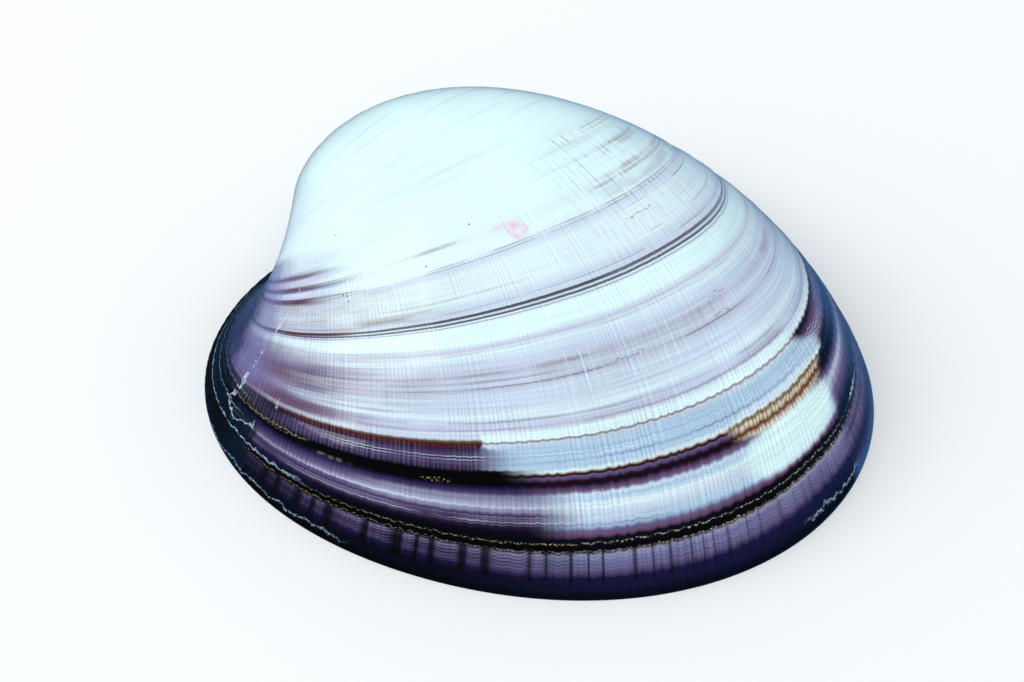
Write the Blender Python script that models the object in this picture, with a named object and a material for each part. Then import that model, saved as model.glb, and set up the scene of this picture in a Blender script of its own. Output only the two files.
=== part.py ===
"""One valve of a smooth polished clam, lying on its edge with the hollow side down.

The outside is a growth surface. Every growth line is the shell's edge as it was when the animal was smaller:
today's edge, shrunk by a scale towards the spiral's centre under the beak and turned about the growth axis.
The inside follows the same lines, set in from the edge by the thickness of the wall.
x runs towards the rear of the shell, y towards the hinge and z up, away from the opening. Units are metres.
"""

import math

import bmesh
import bpy
import numpy as np
from mathutils import Matrix, Vector

# The edge seen from above: its distance from EDGE_CENTRE is EDGE_RADIUS plus a few slow waves, and EDGE_WAVES
# holds the cosine and the sine part of the wave that goes once, twice, up to five times round.
EDGE_CENTRE = (0.0352, -0.0165)
EDGE_RADIUS = 0.0428
EDGE_WAVES = (
    (-0.0089, -0.0186),
    (0.0010, 0.0035),
    (-0.0027, 0.0002),
    (0.0004, 0.0011),
    (-0.0005, 0.0001),
)

# The spiral: its centre's height over the opening, its axis, and how far a line of scale s is turned about it,
# TURN_RATE * t + TURN_EARLY * (1 - exp(-TURN_FADE * t)) radians with t = -log(s).
SPIRAL_HEIGHT = 0.00355
GROWTH_AXIS = (-1.0, -0.235, 0.275)
TURN_RATE = 1.035
TURN_EARLY = 0.236
TURN_FADE = 4.0
# A young shell was longer along the hinge for its size: its lines are stretched by s ** HINGE_STRETCH.
HINGE_STRETCH = -0.103

# Growth steps: the scale of the line where each begins, and how far the shell steps in there.
GROWTH_STEPS = ((0.708, 0.00015), (0.853, 0.00035), (0.885, 0.0002), (0.949, 0.0004))
STEP_HALF_WIDTH = 0.0016
STEP_RUN_OUT = 0.028

# The wall, in the plane of a growth line: its width along the front edge, and the rim that the valve rests on.
WALL_WIDTH = 0.0030
RIM_WIDTH = 0.0013
LIP_CHAMFER = 0.0008

# The hinge plate behind the edge, and the recess that keeps its teeth off the ground.
HINGE_MIDDLE = math.radians(118)
HINGE_FLAT = math.radians(30)
HINGE_END = math.radians(62)
PLATE_WIDTH = 0.0085
PLATE_RIM = 0.0026
PLATE_RECESS = 0.0022

# The hinge teeth: ridges on the plate, each between two points measured from the beak in the opening's plane.
# Three spread out from under the beak, and the long one behind them carried the ligament.
TOOTH_WIDTH = 0.0016
TOOTH_CLEARANCE = 0.0005
TOOTH_SIDES = 16
TOOTH_RINGS = 8
TEETH = (
    ((-0.0012, -0.0034), (-0.0030, -0.0074)),
    ((0.0013, -0.0032), (0.0018, -0.0082)),
    ((0.0036, -0.0026), (0.0100, -0.0062)),
    ((0.0080, -0.0006), (0.0260, 0.0022)),
)

# The mesh: columns round the edge, outer rows from the beak to the edge and inner rows back up.
COLUMNS = 84
BEAK_SCALE = 0.05
BEAK_ROWS = 9
SIDE_SCALE = 0.30
SIDE_ROWS = 20
INNER_SCALE = 0.36
INNER_ROWS = 12
DOME_ROWS = 4
DOME_HEIGHT = 0.30

SHELL_COLOUR = (0.72, 0.74, 0.80, 1.0)
SHELL_ROUGHNESS = 0.18


def smooth_step(value, start, end):
    """0 up to start, 1 from end on, and an S-curve between."""
    t = np.clip((value - start) / (end - start), 0.0, 1.0)
    return t * t * (3.0 - 2.0 * t)


def edge_line(angles):
    """Points of today's edge in its own plane, and the unit normals there that point into the shell."""
    radius = np.full_like(angles, EDGE_RADIUS)
    slope = np.zeros_like(angles)
    for turns, (cosine, sine) in enumerate(EDGE_WAVES, start=1):
        radius += cosine * np.cos(turns * angles) + sine * np.sin(turns * angles)
        slope += turns * (sine * np.cos(turns * angles) - cosine * np.sin(turns * angles))
    out = np.stack([np.cos(angles), np.sin(angles)], axis=1)
    across = np.stack([-np.sin(angles), np.cos(angles)], axis=1)
    points = np.array(EDGE_CENTRE) + radius[:, None] * out
    along = slope[:, None] * out + radius[:, None] * across
    along /= np.linalg.norm(along, axis=1)[:, None]
    return points, np.stack([-along[:, 1], along[:, 0]], axis=1)


def turned(points, angle):
    """Points turned about the growth axis, by Rodrigues' formula."""
    axis = np.array(GROWTH_AXIS)
    axis /= np.linalg.norm(axis)
    along = (points @ axis)[:, None] * axis
    return along + math.cos(angle) * (points - along) + math.sin(angle) * np.cross(axis, points)


def growth_line(angles, scale, set_in=0.0, lift=0.0):
    """The edge when the shell was scale times as big, set in and lifted by these distances in its own plane."""
    points, inward = edge_line(angles)
    set_in = np.broadcast_to(set_in, angles.shape)
    lift = np.broadcast_to(lift, angles.shape)
    line = np.empty((len(angles), 3))
    line[:, :2] = points + inward * (set_in / scale)[:, None]
    line[:, 2] = lift / scale - SPIRAL_HEIGHT
    hinge = np.array((-GROWTH_AXIS[0], -GROWTH_AXIS[1], 0.0))
    hinge /= np.linalg.norm(hinge)
    line += (scale**HINGE_STRETCH - 1.0) * (line @ hinge)[:, None] * hinge
    age = -math.log(scale)
    turn = TURN_RATE * age + TURN_EARLY * (1.0 - math.exp(-TURN_FADE * age))
    return turned(scale * line, turn) + np.array((0.0, 0.0, SPIRAL_HEIGHT))


def step_depth(scale):
    """How far the outside is set in at a line: each growth step falls away at once and then runs out."""
    depth = 0.0
    for start, fall in GROWTH_STEPS:
        past = (scale - start) / STEP_RUN_OUT
        if 0.0 < past < 1.0:
            depth += fall * (1.0 - past) ** 2
    return depth


def outer_scales():
    """Scales of the outer rows from the beak to the edge, with a row on each side of every growth step."""
    beak = np.geomspace(BEAK_SCALE, SIDE_SCALE, BEAK_ROWS, endpoint=False)
    side = np.linspace(SIDE_SCALE, 1.0, SIDE_ROWS)
    steps = []
    for start, _ in GROWTH_STEPS:
        side = side[np.abs(side - start) > 2.0 * STEP_HALF_WIDTH]
        steps += [start - STEP_HALF_WIDTH, start + STEP_HALF_WIDTH]
    return np.sort(np.concatenate([beak, side, steps]))


def hinge_share(angles):
    """1 along the hinge plate, 0 along the rest of the edge."""
    away = np.abs((angles - HINGE_MIDDLE + math.pi) % (2.0 * math.pi) - math.pi)
    return 1.0 - smooth_step(away, HINGE_FLAT, HINGE_END)


def inner_lines(angles):
    """Lines from the rim, over the lip or hinge plate and up the inside, to the floor of the hollow."""
    hinge = hinge_share(angles)
    rim = RIM_WIDTH + hinge * (PLATE_RIM - RIM_WIDTH)
    wall = WALL_WIDTH + hinge * (PLATE_WIDTH - WALL_WIDTH)
    recess = LIP_CHAMFER + hinge * (PLATE_RECESS - LIP_CHAMFER)
    lines = [
        growth_line(angles, 1.0, rim),
        growth_line(angles, 1.0, rim + 0.5 * LIP_CHAMFER, recess * (0.3 + 0.7 * hinge)),
        growth_line(angles, 1.0, wall, recess),
    ]
    for scale in np.linspace(1.0, INNER_SCALE, INNER_ROWS + 1)[1:]:
        narrow = WALL_WIDTH + scale * (wall - WALL_WIDTH)
        lines.append(growth_line(angles, scale, narrow, scale * recess))
    last = lines[-1]
    middle = last.mean(axis=0)
    away = np.linalg.norm(last - middle, axis=1).mean()
    up = (last - lines[-2]).mean(axis=0)
    up /= np.linalg.norm(up)
    for row in range(1, DOME_ROWS + 1):
        turn = 0.5 * math.pi * row / (DOME_ROWS + 1)
        lines.append(middle + math.cos(turn) * (last - middle) + math.sin(turn) * DOME_HEIGHT * away * up)
    return lines, middle + DOME_HEIGHT * away * up


def loft(name, lines, first_tip, last_tip):
    """A closed mesh through closed lines of equal count, each end drawn together to a tip."""
    count = len(lines[0])
    points = np.concatenate([*lines, [first_tip], [last_tip]])
    around = np.arange(count)
    after = np.roll(around, -1)
    faces = []
    for row in range(len(lines) - 1):
        low, high = row * count, (row + 1) * count
        quads = np.stack([low + around, high + around, high + after, low + after], axis=1)
        faces += quads.tolist()
    last = (len(lines) - 1) * count
    faces += [[len(points) - 2, a, b] for a, b in zip(around.tolist(), after.tolist())]
    faces += [[len(points) - 1, last + b, last + a] for a, b in zip(around.tolist(), after.tolist())]
    mesh = bpy.data.meshes.new(name)
    mesh.from_pydata(points.tolist(), [], faces)
    shape = bmesh.new()
    shape.from_mesh(mesh)
    bmesh.ops.recalc_face_normals(shape, faces=shape.faces)
    shape.to_mesh(mesh)
    shape.free()
    mesh.shade_smooth()
    mesh.set_sharp_from_angle(angle=math.radians(40))
    return bpy.data.objects.new(name, mesh)


def tooth(start, end, name):
    """A low ridge from start to end: a ball stretched along it, half sunk in the hinge plate."""
    shape = bmesh.new()
    bmesh.ops.create_uvsphere(shape, u_segments=TOOTH_SIDES, v_segments=TOOTH_RINGS, radius=1.0)
    mesh = bpy.data.meshes.new(name)
    shape.to_mesh(mesh)
    shape.free()
    ridge = bpy.data.objects.new(name, mesh)
    along = Vector((end[0] - start[0], end[1] - start[1], 0.0))
    height = PLATE_RECESS - TOOTH_CLEARANCE
    size = Matrix.Diagonal((0.5 * along.length, 0.5 * TOOTH_WIDTH, height, 1.0))
    turn = Matrix.Rotation(math.atan2(along.y, along.x), 4, "Z")
    middle = Vector(((start[0] + end[0]) / 2.0, (start[1] + end[1]) / 2.0, PLATE_RECESS))
    mesh.transform(Matrix.Translation(middle) @ turn @ size)
    ridge.hide_render = True
    ridge.display_type = "WIRE"
    return ridge


def shell_material():
    material = bpy.data.materials.new("polished_shell")
    material.use_nodes = True
    surface = material.node_tree.nodes["Principled BSDF"]
    surface.inputs["Base Color"].default_value = SHELL_COLOUR
    surface.inputs["Roughness"].default_value = SHELL_ROUGHNESS
    surface.inputs["Metallic"].default_value = 0.0
    return material


def main():
    for leftover in list(bpy.data.objects):
        bpy.data.objects.remove(leftover, do_unlink=True)
    parts = bpy.data.collections.new("clam_shell")
    bpy.context.scene.collection.children.link(parts)
    cutters = bpy.data.collections.new("cutters")
    bpy.context.scene.collection.children.link(cutters)

    angles = np.linspace(0.0, 2.0 * math.pi, COLUMNS, endpoint=False)
    outer = [growth_line(angles, scale, step_depth(scale)) for scale in outer_scales()]
    inner, floor = inner_lines(angles)
    valve = loft("valve", outer + inner, outer[0].mean(axis=0), floor)
    valve.data.materials.append(shell_material())
    parts.objects.link(valve)

    outside = np.concatenate(outer)
    middle = (outside.min(axis=0) + outside.max(axis=0)) / 2.0
    to_origin = Matrix.Translation((-middle[0], -middle[1], 0.0))
    valve.data.transform(to_origin)
    for number, (start, end) in enumerate(TEETH, start=1):
        ridge = tooth(start, end, f"tooth_{number}")
        ridge.data.transform(to_origin)
        cutters.objects.link(ridge)
        union = valve.modifiers.new(f"tooth_{number}", "BOOLEAN")
        union.operation = "UNION"
        union.solver = "EXACT"
        union.object = ridge


main()
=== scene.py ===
# %% [markdown]
# # One valve of a polished clam
#
# The object is half of a clam: a single swollen valve, lying on its edge with the hollow side down.
# It was ground and polished, so the growth bands that lie under the skin of a live clam show as
# colour: ice white on the swell, plum, gold and black lines lower down, and ribbed indigo at the margin.
#
# A clam is a good first lesson in surfaces made from numbers, because the animal itself builds by a
# rule. Its edge adds a thin line of shell at a time, and every line is a little larger than the last
# and a little turned. So the whole outside is one function of two numbers: how far round the edge a
# point lies, and how big the shell was when that line was laid down. The same two numbers later
# place every band, rib and chip of colour.

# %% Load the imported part
import math

import bpy
import numpy as np
from mathutils import Matrix, Vector


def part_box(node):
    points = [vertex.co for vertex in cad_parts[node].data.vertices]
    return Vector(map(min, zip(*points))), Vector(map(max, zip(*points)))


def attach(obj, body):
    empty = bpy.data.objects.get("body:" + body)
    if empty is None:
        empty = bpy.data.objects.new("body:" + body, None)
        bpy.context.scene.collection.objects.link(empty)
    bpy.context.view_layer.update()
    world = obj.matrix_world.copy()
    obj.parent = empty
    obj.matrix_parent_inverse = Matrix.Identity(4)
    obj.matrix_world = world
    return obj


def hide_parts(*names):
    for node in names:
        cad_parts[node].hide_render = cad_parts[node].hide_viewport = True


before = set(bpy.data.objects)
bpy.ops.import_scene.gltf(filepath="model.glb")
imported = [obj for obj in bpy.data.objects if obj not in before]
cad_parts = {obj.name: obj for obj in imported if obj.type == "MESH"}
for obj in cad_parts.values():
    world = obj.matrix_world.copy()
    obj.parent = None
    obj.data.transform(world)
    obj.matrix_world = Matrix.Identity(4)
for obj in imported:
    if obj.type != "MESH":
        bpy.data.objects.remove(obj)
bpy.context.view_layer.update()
valve_low, valve_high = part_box("valve")
print("nodes:", sorted(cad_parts))
print("valve box in mm:", [round(1000 * v, 2) for v in (*valve_low, *valve_high)])

# %% [markdown]
# ## The edge and the rule of growth
#
# Today's edge is a rounded oval. It could be drawn by hand as a spline, but a circle with a few slow
# waves added to its radius has no corners, closes by itself, and its normals follow from a formula.
# An older line is that oval shrunk by a scale and turned about an axis that runs along the hinge:
# that turning is what curls the shell over into a beak.

# %% The edge of the shell
EDGE_CENTRE = (0.0352, -0.0165)
EDGE_RADIUS = 0.0428
EDGE_WAVES = (
    (-0.0089, -0.0186),
    (0.001, 0.0035),
    (-0.0027, 0.0002),
    (0.0004, 0.0011),
    (-0.0005, 0.0001),
)


def smooth(value, start, end):
    """0 up to start, 1 from end on, and between them 3 t squared minus 2 t cubed."""
    t = np.clip((value - start) / (end - start), 0.0, 1.0)
    return t * t * (3.0 - 2.0 * t)


def edge_line(angles):
    """The edge, seen from above, and its normals into the shell.

    The radius is EDGE_RADIUS plus a cosine and a sine for each of five waves. The normal is the
    curve's own direction turned a quarter to the left.
    """
    order = np.arange(1, len(EDGE_WAVES) + 1)[:, None]
    cosine, sine = np.array(EDGE_WAVES).T[:, :, None]
    radius = EDGE_RADIUS + (cosine * np.cos(order * angles) + sine * np.sin(order * angles)).sum(axis=0)
    slope = (order * (sine * np.cos(order * angles) - cosine * np.sin(order * angles))).sum(axis=0)
    out = np.stack([np.cos(angles), np.sin(angles)], axis=-1)
    across = np.stack([-np.sin(angles), np.cos(angles)], axis=-1)
    along = slope[:, None] * out + radius[:, None] * across
    along /= np.linalg.norm(along, axis=1, keepdims=True)
    points = np.array(EDGE_CENTRE) + radius[:, None] * out
    return points, np.stack([-along[:, 1], along[:, 0]], axis=-1)


# %% The spiral that carries the edge
SPIRAL_HEIGHT = 0.00355
GROWTH_AXIS = np.array((-1.0, -0.235, 0.275))
GROWTH_AXIS /= np.linalg.norm(GROWTH_AXIS)
HINGE_LINE = np.array((1.0, 0.235, 0.0))
HINGE_LINE /= np.linalg.norm(HINGE_LINE)
TURN_RATE = 1.035
TURN_EARLY = 0.236
TURN_FADE = 4.0
HINGE_STRETCH = -0.103


def growth_surface(angles, scales, set_in=0.0, lift=0.0):
    """Points of the growth lines, as an array of rows, columns and x, y, z.

    A line is the edge, set in along its normals and lifted off its own plane. It is stretched along
    the hinge by scale to the power HINGE_STRETCH, shrunk by the scale, and turned about the growth
    axis by TURN_RATE times the age plus TURN_EARLY times (1 - exp(-TURN_FADE * age)), where the age
    is minus the logarithm of the scale. The turning is Rodrigues' formula.
    """
    scales = np.asarray(scales, float)[:, None]
    shape = (scales.shape[0], len(angles))
    set_in = np.broadcast_to(set_in, shape)[..., None]
    lift = np.broadcast_to(lift, shape)
    points, inward = edge_line(angles)
    line = np.empty((*shape, 3))
    line[..., :2] = points + inward * set_in / scales[..., None]
    line[..., 2] = lift / scales - SPIRAL_HEIGHT
    line += ((scales**HINGE_STRETCH - 1.0) * (line @ HINGE_LINE))[..., None] * HINGE_LINE
    line *= scales[..., None]
    age = -np.log(scales)
    turn = (TURN_RATE * age + TURN_EARLY * (1.0 - np.exp(-TURN_FADE * age)))[..., None]
    along = (line @ GROWTH_AXIS)[..., None] * GROWTH_AXIS
    line = along + np.cos(turn) * (line - along) + np.sin(turn) * np.cross(GROWTH_AXIS, line)
    return line + np.array((0.0, 0.0, SPIRAL_HEIGHT))


# %% [markdown]
# ## Rows and columns
#
# The columns run from the beak to the edge, and start and end at the hinge, so the seam is hidden
# there. The rows lie along the growth lines. Rows are spent where there is something to carve: close
# together near the margin, and wide apart under the beak.

# %% Columns and rows
COLUMNS = 720
FRONT = math.radians(270)
FIRST_SCALE = 0.03
LAST_SCALE = 0.9975
OUTER_ROWS = 94
SHEET_DENSITY = (
    (0.03, 30.0), (0.25, 45.0), (0.6, 55.0), (0.69, 90.0), (0.73, 80.0), (0.83, 110.0),
    (0.87, 330.0), (1.0, 330.0),
)
FINE_STEPS = 2000

angles = FRONT + np.linspace(-math.pi, math.pi, COLUMNS, endpoint=False)
turns = np.degrees(angles - FRONT)


def spaced_rows(density, first, last, count):
    """Row places whose closeness follows the density: equal steps of its running sum."""
    fine = np.linspace(first, last, FINE_STEPS)
    closeness = np.interp(fine, *np.array(density).T)
    running = np.concatenate([[0.0], np.cumsum(0.5 * (closeness[1:] + closeness[:-1]))])
    return np.interp(np.linspace(0.0, running[-1], count), running, fine)


scales = spaced_rows(SHEET_DENSITY, FIRST_SCALE, LAST_SCALE, OUTER_ROWS)
print(f"{COLUMNS} columns, {OUTER_ROWS} outer rows, at least {np.diff(scales).min():.4f} apart")

# %% [markdown]
# ## What the surface is carved with
#
# A clam stops growing each winter, and the edge starts again a little further in: that leaves steps.
# Between them run fine grooves, and near the margin low ribs cross them. The polisher took most of
# this away, so the depths are tenths of a millimetre. They are made as real shape, because the
# highlights on a polished shell show the smallest wave. Real growth lines aren't quite parallel
# either: a table lets them drift towards the head end, and another lets the last ones sag in front.

# %% Ribs and crinkles
RIB_WIDTH = 1.85
RIB_SWAYS = ((0.42, 0.21, 0.0), (0.23, 0.67, 1.3), (0.12, 1.37, 2.1))
CELL_WIDE = 3.6
CELL_NARROW = 2.4
CELL_CHANGE = (-30.0, -5.0)
CELL_SWAYS = ((0.3, 0.33), (0.2, 0.81))
CELL_STEPS = 1441
DRIFT_FADE = (0.62, 0.72)
DRIFT = (
    (-180.0, 0.0), (-90.0, 0.022), (-83.0, 0.015), (-76.0, 0.006), (-69.0, -0.001), (-60.0, -0.0025),
    (-45.0, -0.0015), (-10.0, 0.0), (30.0, 0.001), (60.0, -0.001), (180.0, 0.0),
)
SAG = (
    (-180.0, 0.0), (-60.0, 0.0), (-45.0, 0.0005), (-20.0, 0.0015), (0.0, 0.0), (10.0, -0.0015),
    (20.0, -0.004), (35.0, -0.003), (50.0, 0.0), (180.0, 0.0),
)


def drift_at(turns, scales):
    """How far a growth line strays at a turn: the table's value, from the middle of the swell on."""
    return smooth(scales, *DRIFT_FADE) * np.interp(turns, *np.array(DRIFT).T)


def rib_number(turns):
    """Counts ribs round the edge: the turn over RIB_WIDTH, plus slow sines that vary the widths."""
    count = turns / RIB_WIDTH
    for size, rate, start in RIB_SWAYS:
        count = count + size * np.sin(rate * turns + start)
    return count


def cell_number(turns):
    """Counts the wide cells at the margin: the running sum of one over their width, which falls
    from CELL_WIDE on the plum side to CELL_NARROW at the rear."""
    line = np.linspace(-180.0, 180.0, CELL_STEPS)
    width = CELL_WIDE + (CELL_NARROW - CELL_WIDE) * smooth(line, *CELL_CHANGE)
    running = np.concatenate([[0.0], np.cumsum(np.diff(line) / width[1:])])
    count = np.interp(turns, line, running)
    for size, rate in CELL_SWAYS:
        count = count + size * np.sin(rate * turns)
    return count


def rib_fold(turns):
    """1 on the lines between two ribs, 0 on the crest of a rib, straight between."""
    return np.abs(2.0 * (rib_number(turns) % 1.0) - 1.0)


# %% Growth steps, grooves and ribs
GROWTH_STEPS = (
    (0.565, 0.00004), (0.6, 0.00005), (0.631, 0.0001), (0.664, 0.00005), (0.7085, 0.00018),
    (0.75, 0.00006), (0.79, 0.00008), (0.82, 0.00005), (0.853, 0.00028), (0.887, 0.00022),
    (0.947, 0.00034), (0.99, 0.00016),
)
REAR_EXTRA = 1.2
REAR_BEGINS = (20.0, 50.0)
REAR_ENDS = (130.0, 90.0)
STEP_ONSET = 0.0035
STEP_RUN_OUT = 0.028
CRINKLE = 0.001
CRINKLE_SCALES = (0.8, 0.9)
CRINKLE_TURNS = (-60.0, 10.0)
GROOVES = 46
GROOVE_DEPTH = 0.000035
GROOVE_SCALES = (0.35, 0.75)
GROOVE_SWAYS = ((2.0, 3.0, 0.0), (1.0, 7.0, 40.0))
RIB_DEPTH = 0.00006
RIB_SCALES = (0.72, 0.97)


def crinkled(turns, scales):
    """The scale at which each point counts as grown: ribs pull the late lines back a little."""
    late = smooth(scales, *CRINKLE_SCALES) * smooth(-turns, *CRINKLE_TURNS)
    return scales - drift_at(turns, scales) - CRINKLE * late * (1.0 - rib_fold(turns)) ** 2


def carving(turns, scales):
    """How deep the outside is cut, in metres.

    Each step falls over STEP_ONSET and runs out as a square over STEP_RUN_OUT, and towards the rear
    REAR_EXTRA of its depth is added to it. Grooves are a cosine of the scale, with a phase that
    wanders round the shell. Ribs are a cosine of the rib number, and grow from nothing on the swell
    to RIB_DEPTH at the margin.
    """
    grown = crinkled(turns, scales)
    depth = np.zeros_like(grown)
    for start, fall in GROWTH_STEPS:
        past = (grown - start) / STEP_RUN_OUT
        depth += fall * smooth(grown, start, start + STEP_ONSET) * np.clip(1.0 - past, 0.0, 1.0) ** 2
    depth *= 1.0 + REAR_EXTRA * smooth(turns, *REAR_BEGINS) * smooth(turns, *REAR_ENDS)
    wander = 0.0
    for size, rate, slant in GROOVE_SWAYS:
        wander = wander + size * np.sin(np.radians(rate * turns) + slant * scales)
    grooves = 0.5 - 0.5 * np.cos(2.0 * math.pi * GROOVES * grown + wander)
    depth += GROOVE_DEPTH * smooth(scales, *GROOVE_SCALES) * grooves
    crests = 0.5 + 0.5 * np.cos(2.0 * math.pi * rib_number(turns))
    depth += RIB_DEPTH * smooth(scales, *RIB_SCALES) * crests
    return depth


turn_grid, scale_grid = np.meshgrid(turns, scales)
outside = growth_surface(angles, scales, carving(turn_grid, scale_grid))
print(f"deepest carving {1000 * carving(turn_grid, scale_grid).max():.2f} mm")

# %% [markdown]
# ## Under the edge: rim, hinge plate and hollow
#
# The wall is about three millimetres thick along the front. Behind the beak it widens into a plate,
# which carries the teeth that kept the two valves in line. The plate is a little recessed, so the
# valve rests on its rim alone. The inside follows the same growth lines as the outside, set in by the
# thickness of the wall. Two muscle scars and the line where the mantle was fastened are pressed into it.

# %% The rim and the hinge plate
WALL_WIDTH = 0.003
RIM_START = 0.00012
RIM_WIDTH = 0.0013
LIP_RISE = 0.0008
HINGE_MIDDLE = math.radians(118)
HINGE_FLAT = math.radians(30)
HINGE_END = math.radians(62)
PLATE_WIDTH = 0.0085
PLATE_RIM = 0.0026
PLATE_RECESS = 0.0022
LIP_ROUNDING = 0.0009
RIM_ROWS = 2
PLATE_ROWS = 12

away = np.abs((angles - HINGE_MIDDLE + math.pi) % (2.0 * math.pi) - math.pi)
hinge = 1.0 - smooth(away, HINGE_FLAT, HINGE_END)
rim = RIM_WIDTH + hinge * (PLATE_RIM - RIM_WIDTH)
wall = WALL_WIDTH + hinge * (PLATE_WIDTH - WALL_WIDTH)
recess = LIP_RISE + hinge * (PLATE_RECESS - LIP_RISE)

# %% The teeth
TOOTH_WIDTH = 0.0016
TOOTH_HEIGHT = 0.0017
TOOTH_POWER = 0.7
SOCKET_WIDTH = 2.6 * TOOTH_WIDTH
SOCKET_DEPTH = 0.0004
TEETH = (
    ((-0.0012, -0.0034), (-0.003, -0.0074)),
    ((0.0013, -0.0032), (0.0018, -0.0082)),
    ((0.0036, -0.0026), (0.01, -0.0062)),
    ((0.008, -0.0006), (0.026, 0.0022)),
)


def ridge(x, y, start, end, width):
    """A ridge from start to end, 1 on its crest: the height of a ball stretched along it, as
    (1 - r squared) to the power TOOTH_POWER, where r is the distance from its middle in half lengths and
    half widths."""
    start, end = np.array(start), np.array(end)
    length = np.linalg.norm(end - start)
    direction = (end - start) / length
    middle = 0.5 * (start + end)
    along = (x - middle[0]) * direction[0] + (y - middle[1]) * direction[1]
    beside = (y - middle[1]) * direction[0] - (x - middle[0]) * direction[1]
    height = 1.0 - (2.0 * along / length) ** 2 - (2.0 * beside / width) ** 2
    return np.clip(height, 0.0, 1.0) ** TOOTH_POWER


def plate_lift(across):
    """How far the lip or plate lies above the ground, for rows from 0 at the rim to 1 at the hollow.

    Along the front it rises evenly to LIP_RISE. On the plate it rises within LIP_ROUNDING to the
    recess, and there the teeth come down from it and the sockets between them go up.
    """
    set_in = rim + across[:, None] * (wall - rim)
    x, y, _ = np.moveaxis(growth_surface(angles, np.ones_like(across), set_in), -1, 0)
    lift = recess * (hinge * smooth(set_in - rim, 0.0, LIP_ROUNDING) + (1.0 - hinge) * across[:, None])
    for start, end in TEETH:
        tooth = ridge(x, y, start, end, TOOTH_WIDTH)
        socket = ridge(x, y, start, end, SOCKET_WIDTH)
        lift = lift - hinge * (TOOTH_HEIGHT + SOCKET_DEPTH) * tooth + hinge * SOCKET_DEPTH * socket
    return set_in, lift


rim_rows = np.linspace(0.0, 1.0, RIM_ROWS + 1)[:-1]
rim_set_in = RIM_START + rim_rows[:, None] * (rim - RIM_START)
rim_sheet = growth_surface(angles, np.ones(RIM_ROWS), rim_set_in)
plate_in, plate_up = plate_lift(np.linspace(0.0, 1.0, PLATE_ROWS))
plate_sheet = growth_surface(angles, np.ones(PLATE_ROWS), plate_in, plate_up)
print(f"hinge plate {1000 * PLATE_WIDTH:.1f} mm wide, teeth {1000 * np.ptp(plate_up):.1f} mm high")

# %% The hollow, its scars and its floor
INNER_SCALE = 0.36
INNER_ROWS = 24
FLOOR_ROWS = 6
FLOOR_HEIGHT = 0.3
SCARS = ((-88.0, 0.815, 11.0, 0.075), (86.0, 0.8, 12.0, 0.085))
SCAR_EDGE = (0.85, 1.1)
SCAR_DEPTH = 0.0003
MANTLE_LINE = 0.865
MANTLE_EDGE = (0.004, 0.016)
MANTLE_ENDS = (80.0, 92.0)
MANTLE_BAY = (66.0, 15.0, 0.13)
MANTLE_DEPTH = 0.00016


def scar_share(turns, scales):
    """1 in the two muscle scars, 0 outside: ellipses in turn and scale with soft edges."""
    share = np.zeros(np.broadcast(turns, scales).shape)
    for turn, scale, half_turn, half_scale in SCARS:
        far = np.hypot((turns - turn) / half_turn, (scales - scale) / half_scale)
        share = np.maximum(share, 1.0 - smooth(far, *SCAR_EDGE))
    return share


def mantle_share(turns, scales):
    """1 on the mantle line: it runs along the front edge, and bends into a bay at the rear."""
    bay_turn, bay_width, bay_depth = MANTLE_BAY
    bay = np.exp(-(((turns - bay_turn) / bay_width) ** 2))
    off = np.abs(scales - (MANTLE_LINE - bay_depth * bay))
    return (1.0 - smooth(off, *MANTLE_EDGE)) * (1.0 - smooth(np.abs(turns), *MANTLE_ENDS))


inner_scales = np.linspace(1.0, INNER_SCALE, INNER_ROWS + 1)[1:]
narrow = WALL_WIDTH + inner_scales[:, None] * (wall - WALL_WIDTH)
pressed = SCAR_DEPTH * scar_share(turns, inner_scales[:, None])
pressed = pressed + MANTLE_DEPTH * mantle_share(turns, inner_scales[:, None])
inside = growth_surface(angles, inner_scales, narrow - pressed, inner_scales[:, None] * recess)

last = inside[-1]
middle = last.mean(axis=0)
reach = np.linalg.norm(last - middle, axis=1).mean()
up = (last - inside[-2]).mean(axis=0)
up /= np.linalg.norm(up)
quarter = 0.5 * math.pi * np.arange(1, FLOOR_ROWS + 1)[:, None, None] / (FLOOR_ROWS + 1)
floor_sheet = middle + np.cos(quarter) * (last - middle) + np.sin(quarter) * FLOOR_HEIGHT * reach * up
floor_tip = middle + FLOOR_HEIGHT * reach * up

# %% [markdown]
# ## One closed skin
#
# All the rows are stacked into one tube of quads, and each end is drawn together to a tip: one at the
# beak, one at the floor of the hollow. Each corner of a face also stores where it grew, in an
# attribute: the turn from the middle of the front, the scale of its line, and as a third number how
# much the last lines sag there or, inside, how far in from the rim it lies. A second attribute counts
# the ribs and the cells. They are kept on corners and not on points, so that the turn can jump from
# 180 to -180 at the hinge without a smear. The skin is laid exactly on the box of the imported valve.

# %% Stack the sheets
stack = np.concatenate([outside, rim_sheet, plate_sheet, inside, floor_sheet])
rows = len(stack)
row_scale = np.concatenate([
    scales,
    np.ones(RIM_ROWS + PLATE_ROWS),
    inner_scales,
    np.linspace(INNER_SCALE, 0.0, FLOOR_ROWS + 2)[1:-1],
])
rim_in = rim_rows[:, None] * rim
deep_in = np.broadcast_to(wall, (rows - OUTER_ROWS - RIM_ROWS - PLATE_ROWS, COLUMNS))
row_in = np.concatenate([rim_in, plate_in, deep_in])
points = np.concatenate([stack.reshape(-1, 3), [outside[0].mean(axis=0)], [floor_tip]])
low, high = points.min(axis=0), points.max(axis=0)
box_low, box_high = np.array(valve_low), np.array(valve_high)
points = box_low + (points - low) * (box_high - box_low) / (high - low)
print("fitted to the box by", [round(float(v), 4) for v in (box_high - box_low) / (high - low)])

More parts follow.
